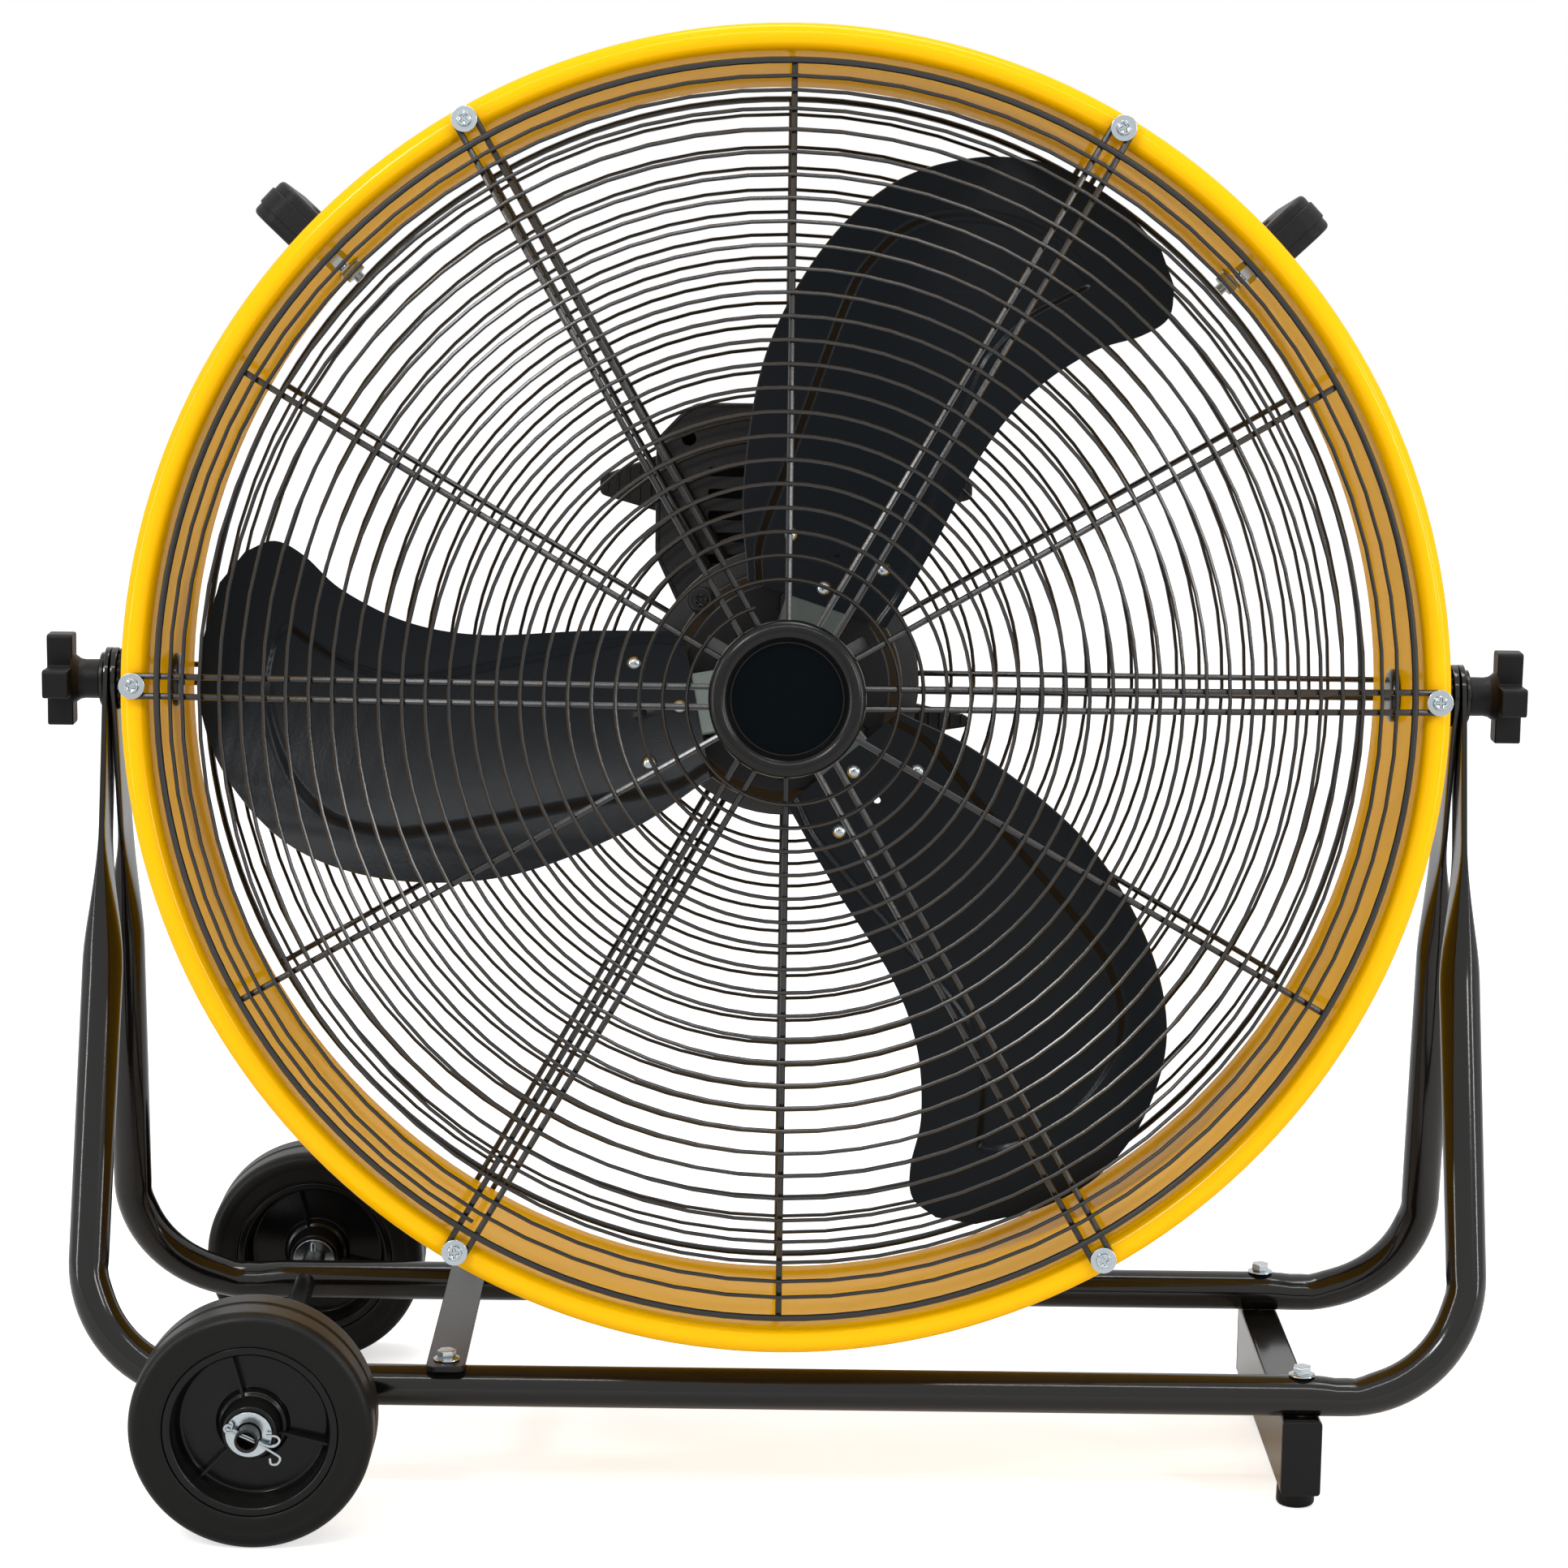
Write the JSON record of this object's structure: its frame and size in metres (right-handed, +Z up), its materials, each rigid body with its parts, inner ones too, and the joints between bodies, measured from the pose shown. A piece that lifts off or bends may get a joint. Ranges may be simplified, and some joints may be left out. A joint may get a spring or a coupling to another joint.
{
  "type": "drum fan",
  "caption": "Wheeled drum fan: a yellow steel drum with wire guards and swept blades tilts between two black U tubes.",
  "frame": {"origin": "on the floor, under the middle of the whole object", "axes": "+X to the right of someone facing the outlet, along the pivot axis; +Y to the rear, away from the outlet; +Z up"},
  "size_m": [0.7728, 0.372, 0.7586],
  "materials": {
    "drum_yellow": "gloss",
    "frame_black": "gloss",
    "wire_black": "satin",
    "blade_black": "satin",
    "zinc": "satin",
    "steel": "satin",
    "plastic_black": "satin",
    "rubber_black": "matt",
    "tyre_black": "matt"
  },
  "bodies": {
    "stand": {"front_frame_tube": "frame_black", "rear_frame_tube": "frame_black", "cross_strap": "frame_black", "foot_bar": "frame_black", "foot_bar_cap_front": "plastic_black", "foot_bar_cap_rear": "plastic_black", "rubber_foot_front": "rubber_black", "rubber_foot_rear": "rubber_black", "strap_bolt_front": "zinc", "strap_bolt_rear": "zinc", "foot_bar_bolt_front": "zinc", "foot_bar_bolt_rear": "zinc", "axle": "steel", "wheel_washer_front": "zinc", "wheel_washer_rear": "zinc", "wheel_clip_front": "zinc", "wheel_clip_rear": "zinc", "knob_washer_left": "zinc", "knob_washer_right": "zinc"},
    "drum": {"drum_shell": "drum_yellow", "front_guard": "wire_black", "front_guard_spiral": "wire_black", "rear_guard": "wire_black", "rear_guard_spiral": "wire_black", "centre_cap": "plastic_black", "toothed_disc_left": "plastic_black", "toothed_disc_right": "plastic_black", "pivot_bolt_left": "frame_black", "pivot_bolt_right": "frame_black", "grip_left": "plastic_black", "grip_right": "plastic_black", "grip_bolt_left_front": "zinc", "grip_bolt_left_rear": "zinc", "grip_bolt_right_front": "zinc", "grip_bolt_right_rear": "zinc", "guard_screw_1": "zinc", "guard_screw_2": "zinc", "guard_screw_3": "zinc", "guard_screw_4": "zinc", "guard_screw_5": "zinc", "guard_screw_6": "zinc", "motor_front_bell": "frame_black", "motor_stator": "steel", "motor_rear_bell": "frame_black", "control_box": "plastic_black", "cord_gland": "plastic_black", "run_capacitor": "plastic_black"},
    "rotor": {"blade_1": "blade_black", "blade_2": "blade_black", "blade_3": "blade_black", "hub_spider": "zinc", "motor_shaft": "steel"},
    "front_wheel": {"wheel_front": "plastic_black", "tyre_front": "tyre_black"},
    "rear_wheel": {"wheel_rear": "plastic_black", "tyre_rear": "tyre_black"},
    "left_clamp_knob": {"clamp_knob_left": "plastic_black"},
    "right_clamp_knob": {"clamp_knob_right": "plastic_black"},
    "speed_control": {"speed_knob": "plastic_black"}
  },
  "joints": [
    {"name": "drum_tilt", "type": "hinge", "parent": "stand", "child": "drum", "pos_m": [0, 0, 0.415], "axis": [1, 0, 0], "continuous": true},
    {"name": "rotor_spin", "type": "hinge", "parent": "drum", "child": "rotor", "pos_m": [0, 0, 0.415], "axis": [0, 0.9936, -0.1132], "continuous": true},
    {"name": "front_wheel_spin", "type": "hinge", "parent": "stand", "child": "front_wheel", "pos_m": [-0.2635, -0.153, 0.0615], "axis": [0, 1, 0], "continuous": true},
    {"name": "rear_wheel_spin", "type": "hinge", "parent": "stand", "child": "rear_wheel", "pos_m": [-0.2635, 0.153, 0.0615], "axis": [0, 1, 0], "continuous": true},
    {"name": "left_knob_turn", "type": "hinge", "parent": "drum", "child": "left_clamp_knob", "pos_m": [-0.375, 0, 0.415], "axis": [1, 0, 0], "continuous": true},
    {"name": "right_knob_turn", "type": "hinge", "parent": "drum", "child": "right_clamp_knob", "pos_m": [0.375, 0, 0.415], "axis": [1, 0, 0], "continuous": true},
    {"name": "speed_knob_turn", "type": "hinge", "parent": "drum", "child": "speed_control", "pos_m": [0, 0.16081, 0.50135], "axis": [0, -0.9936, 0.1132], "range_deg": [0, 135]}
  ]
}
